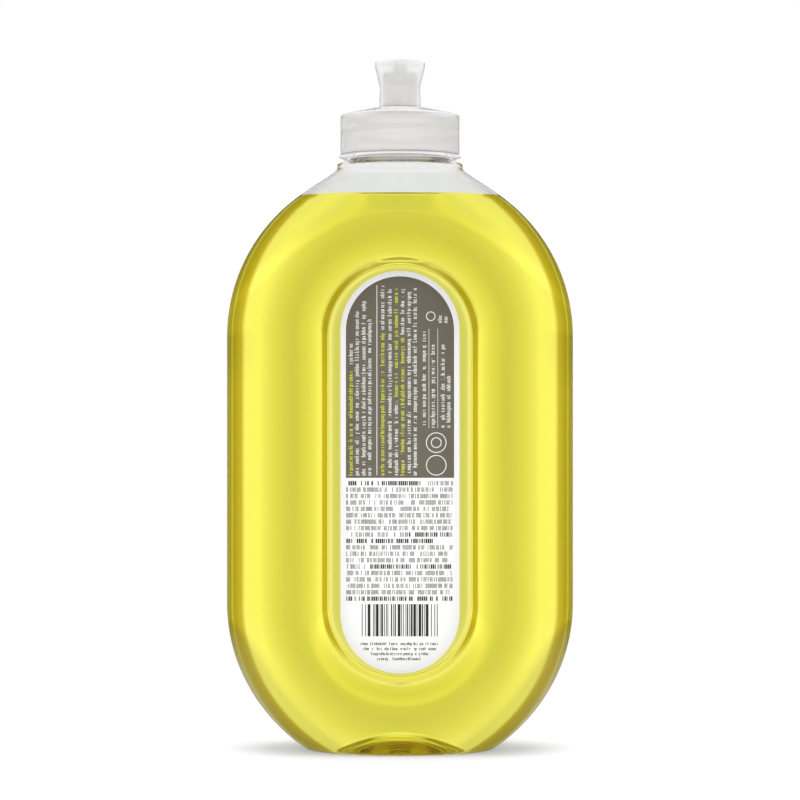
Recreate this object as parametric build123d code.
from build123d import *
from math import sqrt
import os

# A flat clear bottle of floor cleaner with a push-pull screw cap. Millimetres, +Z up, the origin in
# the middle of the standing ring, the labelled face towards -Y.

# Body: a fat tube bent into a stadium, with a dished panel across its middle on both faces
BODY_WIDTH = 120.9
BODY_DEPTH = 50.0
ARC_SPACING = 93.0
BASE_CUT = 9.35
PANEL_THICKNESS = 26.0
FLANK_RUN = 8.6
FLANK_DROP = 3.2
STEP_RUN = 1.9
STEP_ROUND = 1.4
BODY_WALL = 0.73

# Base: flat standing ring round a pushed-up dome
BASE_ROUND = 1.6
RING_WIDTH = 4.85
PUSH_UP_HEIGHT = 7.6

# Shoulder: a cone that leaves the body's outline and narrows to the round collar
SHOULDER_DROP = 11.0
SHOULDER_SINK = 0.3
SHOULDER_ROOT = 7.5
SHOULDER_TUCK = 6.0
COLLAR_DROP = 1.9
COLLAR_HEIGHT = 1.45

# Neck finish: the neck leaves room for both threads inside the cap's skirt, and the rest stands on the neck
THREAD_ROOM = 1.97
NECK_WALL = 1.95
NECK_LENGTH = 11.8
LIP_ROUND = 0.5
BEAD_PROUD = 3.85
BEAD_HEIGHT = 0.8
BEAD_EDGE = 0.5
WAIST_PROUD = 1.05
WAIST_RISE = 1.8
WAIST_HEIGHT = 0.35
COLLAR_PROUD = 4.45

# Fill
FILL_BELOW_COLLAR = 9.8
LIQUID_CLEARANCE = 0.05

# Label film in the front panel, and the printed field on it
LABEL_SIDE_MARGIN = 4.4
LABEL_END_MARGIN = 2.0
LABEL_LOWERED = 0.6
LABEL_THICKNESS = 0.15
FIELD_MARGIN = 1.9
FIELD_LENGTH = 69.5
FIELD_THICKNESS = 0.03

# Cap
CAP_RADIUS = 20.77
SKIRT_WALL = 1.35
SKIRT_GAP = 0.4
CAP_ROUND = 1.2
DECK_WALL = 1.4
DECK_RISE = 2.6
WASHER_THICKNESS = 1.0
WASHER_WIDTH = 4.2
WASHER_CLEARANCE = 0.4

# Post that the nozzle slides on, with a plug pin held in its mouth by spokes
POST_RADIUS = 5.0
POST_HEAD_RADIUS = 5.45
POST_HEAD_LENGTH = 5.0
POST_bore_radius = 3.6
PIN_RADIUS = 2.1
PIN_ROUND = 0.9
PIN_DEPTH = 3.0
SPOKE_COUNT = 3
SPOKE_WIDTH = 1.0
SPOKE_HEIGHT = 1.5

# Nozzle, modelled pushed down
NOZZLE_STROKE = 6.0
STROKE_SPARE = 0.2
NOZZLE_SEAT_GAP = 0.3
NOZZLE_FOOT_RADIUS = 7.2
NOZZLE_waist_radius = 7.05
NOZZLE_LIP_RADIUS = 8.75
NOZZLE_WAIST_LENGTH = 7.2
NOZZLE_LIP_LENGTH = 1.3
NOZZLE_ROUND = 0.6
NOZZLE_TOP_WALL = 3.6
STOP_BEAD_HEIGHT = 0.8
SLIDE_CLEARANCE = 0.1
PIN_CLEARANCE = 0.08
PIN_PROUD = 1.25
ORIFICE_FLARE = 0.8

# Levels and radii that follow from the sizes above
body_radius = BODY_WIDTH / 2
tube_radius = BODY_DEPTH / 2
crown = body_radius - tube_radius
step_top = crown - FLANK_RUN
panel_edge = step_top - STEP_RUN
flank_radius = (FLANK_RUN**2 + FLANK_DROP**2) / (2 * FLANK_DROP)
panel_face = PANEL_THICKNESS / 2
low_arc_z = body_radius - BASE_CUT
high_arc_z = low_arc_z + ARC_SPACING
body_top = high_arc_z + body_radius
shoulder_z = body_top - SHOULDER_DROP
shoulder_half_width = sqrt(body_radius**2 - (body_radius - SHOULDER_DROP) ** 2) - SHOULDER_SINK
collar_z = body_top - COLLAR_DROP
collar_top = collar_z + COLLAR_HEIGHT
waist_z = collar_top + WAIST_RISE
bead_z = waist_z + WAIST_HEIGHT
bead_top = bead_z + BEAD_HEIGHT
lip_z = bead_top + NECK_LENGTH
fill_z = collar_z - FILL_BELOW_COLLAR
skirt_z = bead_top + SKIRT_GAP
skirt_inner = CAP_RADIUS - SKIRT_WALL
neck_radius = skirt_inner - THREAD_ROOM
bore_radius = neck_radius - NECK_WALL
bead_radius = neck_radius + BEAD_PROUD
waist_radius = neck_radius + WAIST_PROUD
collar_radius = neck_radius + COLLAR_PROUD
deck_under = lip_z + WASHER_THICKNESS
cap_edge_z = deck_under + DECK_WALL
deck_top = cap_edge_z + DECK_RISE
washer_outer = skirt_inner - WASHER_CLEARANCE
washer_inner = washer_outer - WASHER_WIDTH
nozzle_z = deck_top + NOZZLE_SEAT_GAP
stop_top = nozzle_z + STOP_BEAD_HEIGHT
head_z = stop_top + NOZZLE_STROKE + STROKE_SPARE
post_top = head_z + POST_HEAD_LENGTH
nozzle_bore = POST_HEAD_RADIUS + SLIDE_CLEARANCE
stop_radius = POST_RADIUS + SLIDE_CLEARANCE
nozzle_roof = post_top + NOZZLE_SEAT_GAP
nozzle_top = nozzle_roof + NOZZLE_TOP_WALL
pin_top = nozzle_top + PIN_PROUD
orifice = PIN_RADIUS + PIN_CLEARANCE


def body_section(inset):
    """Half of the body's section, from its middle plane out to its edge, drawn inset from the outside."""
    edge = body_radius - inset
    high = tube_radius - inset
    face = panel_face - inset
    inner = panel_edge + inset
    shelf = step_top + inset
    arc_high = tube_radius - flank_radius
    arc_radius = flank_radius - inset
    shelf_y = arc_high + sqrt(arc_radius**2 - (crown - shelf) ** 2)
    fall = tube_radius - inset
    with BuildSketch(Plane.XY) as half:
        with BuildLine():
            Polyline((0, 0), (0, face), (inner, face), (shelf, shelf_y))
            RadiusArc((shelf, shelf_y), (crown, high), arc_radius)
            RadiusArc((crown, high), (edge, 0), fall)
            Line((edge, 0), (0, 0))
        make_face()
        corners = half.vertices().filter_by(lambda v: inner - 0.01 < v.X < shelf + 0.01 and v.Y > 0.01)
        fillet(corners, STEP_ROUND)
        mirror(about=Plane.XZ)
    return half.sketch


def stadium_body(inset):
    """The section turned about both arc centres and run straight between them, cut flat for the base."""
    section = body_section(inset)
    upright = Plane((0, 0, high_arc_z), x_dir=(1, 0, 0), z_dir=(0, 0, 1))
    lower = Plane((0, 0, low_arc_z), x_dir=(1, 0, 0), z_dir=(0, 0, 1))
    arm = extrude(lower * section, amount=ARC_SPACING)
    top = revolve(upright * section, Axis((0, 0, high_arc_z), (0, -1, 0)), 180)
    bottom = revolve(lower * section, Axis((0, 0, low_arc_z), (0, 1, 0)), 180)
    whole = top + bottom + arm + mirror(arm, about=Plane.YZ)
    floor = Pos(0, 0, inset) * Box(2 * BODY_WIDTH, 2 * BODY_DEPTH, 2 * BODY_WIDTH,
                                   align=(Align.CENTER, Align.CENTER, Align.MAX))
    return whole - floor


def shoulder(inset):
    """Cone from the round collar to just inside the body's outline, with a root tucked into the body."""
    collar = collar_radius - inset
    levels = [
        (collar_z, collar),
        (shoulder_z, shoulder_half_width - inset),
        (shoulder_z - SHOULDER_ROOT, shoulder_half_width - inset - SHOULDER_TUCK),
    ]
    rings = [Pos(0, 0, z) * Ellipse(half_width, collar) for z, half_width in levels]
    return loft(rings[:2], ruled=True) + loft(rings[1:], ruled=True)


def push_up(inset):
    """Shallow dome raised from the base inside the standing ring."""
    half_width = sqrt(body_radius**2 - low_arc_z**2) - RING_WIDTH
    reach = low_arc_z - crown
    half_depth = sqrt(tube_radius**2 - reach**2) - RING_WIDTH
    ball = (half_width**2 + PUSH_UP_HEIGHT**2) / (2 * PUSH_UP_HEIGHT) + inset
    dome = scale(Sphere(ball), by=(1, half_depth / half_width, 1))
    return Pos(0, 0, PUSH_UP_HEIGHT + inset - ball) * dome


def neck_outside():
    """Turned outside of collar, waist, support bead and plain threaded length."""
    with BuildSketch(Plane.XZ) as half:
        with BuildLine():
            Polyline(
                (0, lip_z), (0, collar_z), (collar_radius, collar_z), (collar_radius, collar_top)
            )
            TangentArc((collar_radius, collar_top), (waist_radius, waist_z), tangent=(0, 1))
            Polyline(
                (waist_radius, waist_z),
                (waist_radius, bead_z),
                (bead_radius, bead_top - BEAD_EDGE),
                (bead_radius, bead_top),
                (neck_radius, bead_top),
                (neck_radius, lip_z),
                (0, lip_z),
            )
        make_face()
        lip = half.vertices().filter_by(lambda v: v.X > neck_radius - 0.01 and v.Z > lip_z - 0.01)
        fillet(lip, LIP_ROUND)
    return revolve(half.sketch, Axis.Z)


def neck_inside():
    """Bore of the neck, opening into the collar below the bead."""
    collar = collar_radius - BODY_WALL
    with BuildSketch(Plane.XZ) as half:
        with BuildLine():
            Polyline((0, lip_z), (0, collar_z), (collar, collar_z))
            Line((collar, collar_z), (bore_radius, waist_z))
            Polyline((bore_radius, waist_z), (bore_radius, lip_z), (0, lip_z))
        make_face()
    return revolve(half.sketch, Axis.Z)


def hollow(inset):
    """What the bottle's inner wall bounds below the collar, inset from the outside."""
    return stadium_body(inset) + shoulder(inset) - push_up(inset)


def make_bottle():
    outside = stadium_body(0)
    rim = outside.edges().filter_by_position(Axis.Z, -0.01, 0.01)
    outside = fillet(rim, BASE_ROUND) + shoulder(0) + neck_outside() - push_up(0)
    return outside - hollow(BODY_WALL) - neck_inside()


def make_liquid():
    above = Pos(0, 0, fill_z) * Box(2 * BODY_WIDTH, 2 * BODY_DEPTH, BODY_WIDTH,
                                    align=(Align.CENTER, Align.CENTER, Align.MIN))
    return hollow(BODY_WALL + LIQUID_CLEARANCE) - above


def label_plane(lift):
    """Plane of the front panel, lifted off it towards the viewer, with its middle at the label's."""
    middle = (low_arc_z + high_arc_z) / 2 - LABEL_LOWERED
    return Plane((0, -panel_face - lift, middle), x_dir=(1, 0, 0), z_dir=(0, -1, 0))


label_radius = panel_edge - LABEL_SIDE_MARGIN
label_length = ARC_SPACING + 2 * (panel_edge - LABEL_END_MARGIN)


def make_label():
    outline = SlotOverall(label_length, 2 * label_radius, rotation=90)
    return extrude(label_plane(0) * outline, amount=LABEL_THICKNESS)


def make_print_field():
    """Field with the label's round top, cut straight across at its lower end."""
    radius = label_radius - FIELD_MARGIN
    top = label_length / 2 - FIELD_MARGIN
    outline = SlotOverall(2 * top, 2 * radius, rotation=90)
    below = Pos(0, top - FIELD_LENGTH) * Rectangle(4 * radius, 4 * top, align=(Align.CENTER, Align.MAX))
    return extrude(label_plane(LABEL_THICKNESS) * (outline - below), amount=FIELD_THICKNESS)


def make_cap():
    """Turned skirt, coned deck and post, with the plug pin and its spokes in the post's mouth."""
    slope = DECK_RISE / (CAP_RADIUS - POST_RADIUS)
    cone_outer = washer_inner
    cone_z = cap_edge_z + slope * (CAP_RADIUS - cone_outer) - DECK_WALL
    throat_z = deck_top + slope * (POST_RADIUS - POST_bore_radius) - DECK_WALL
    with BuildSketch(Plane.XZ) as half:
        with BuildLine():
            Polyline(
                (skirt_inner, skirt_z),
                (CAP_RADIUS, skirt_z),
                (CAP_RADIUS, cap_edge_z),
                (POST_RADIUS, deck_top),
                (POST_RADIUS, head_z),
                (POST_HEAD_RADIUS, head_z),
                (POST_HEAD_RADIUS, post_top),
                (POST_bore_radius, post_top),
                (POST_bore_radius, throat_z),
                (cone_outer, cone_z),
                (cone_outer, deck_under),
                (skirt_inner, deck_under),
                (skirt_inner, skirt_z),
            )
        make_face()
        rim = half.vertices().filter_by(lambda v: v.X > CAP_RADIUS - 0.01 and v.Z > cap_edge_z - 0.01)
        fillet(rim, CAP_ROUND)
    turned = revolve(half.sketch, Axis.Z)
    spokes_z = post_top - PIN_DEPTH
    pin = Pos(0, 0, spokes_z) * Cylinder(
        PIN_RADIUS, pin_top - spokes_z, align=(Align.CENTER, Align.CENTER, Align.MIN)
    )
    pin = fillet(pin.edges().sort_by(Axis.Z)[-1], PIN_ROUND)
    reach = (POST_bore_radius + POST_HEAD_RADIUS) / 2
    spoke = Pos(0, 0, spokes_z) * Box(
        reach, SPOKE_WIDTH, SPOKE_HEIGHT, align=(Align.MIN, Align.CENTER, Align.MIN)
    )
    spokes = [Rot(0, 0, i * 360 / SPOKE_COUNT) * spoke for i in range(SPOKE_COUNT)]
    return turned + [pin] + spokes


def make_nozzle():
    """Turned nozzle: waisted grip, flared lip, stop bead at the foot and orifice round the plug pin."""
    flare_z = nozzle_z + NOZZLE_WAIST_LENGTH
    lip_low = nozzle_top - NOZZLE_LIP_LENGTH
    with BuildSketch(Plane.XZ) as half:
        with BuildLine():
            Polyline(
                (stop_radius, nozzle_z), (NOZZLE_FOOT_RADIUS, nozzle_z), (NOZZLE_waist_radius, flare_z)
            )
            Spline(
                (NOZZLE_waist_radius, flare_z),
                (NOZZLE_LIP_RADIUS, lip_low),
                tangents=[(0, 1), (0.25, 1)],
            )
            Polyline(
                (NOZZLE_LIP_RADIUS, lip_low),
                (NOZZLE_LIP_RADIUS, nozzle_top),
                (orifice + ORIFICE_FLARE, nozzle_top),
                (orifice, nozzle_top - ORIFICE_FLARE),
                (orifice, nozzle_roof),
                (nozzle_bore, nozzle_roof),
                (nozzle_bore, stop_top),
                (stop_radius, stop_top),
                (stop_radius, nozzle_z),
            )
        make_face()
        rim = half.vertices().filter_by(
            lambda v: v.X > NOZZLE_LIP_RADIUS - 0.01 and v.Z > nozzle_top - 0.01
        )
        fillet(rim, NOZZLE_ROUND)
    return revolve(half.sketch, Axis.Z)


def make_washer():
    ring = Cylinder(washer_outer, WASHER_THICKNESS) - Cylinder(washer_inner, WASHER_THICKNESS)
    return Pos(0, 0, lip_z + WASHER_THICKNESS / 2) * ring


nodes = {
    "bottle": make_bottle,
    "cleaner_liquid": make_liquid,
    "back_label": make_label,
    "label_print_field": make_print_field,
    "screw_cap": make_cap,
    "nozzle": make_nozzle,
    "seal_washer": make_washer,
}

os.makedirs("parts", exist_ok=True)
for name, make in nodes.items():
    solid = make()
    export_step(solid, f"parts/{name}.step")
    box = solid.bounding_box()
    print(f"{name}: {solid.volume / 1000:.2f} ml, z {box.min.Z:.2f} to {box.max.Z:.2f}")
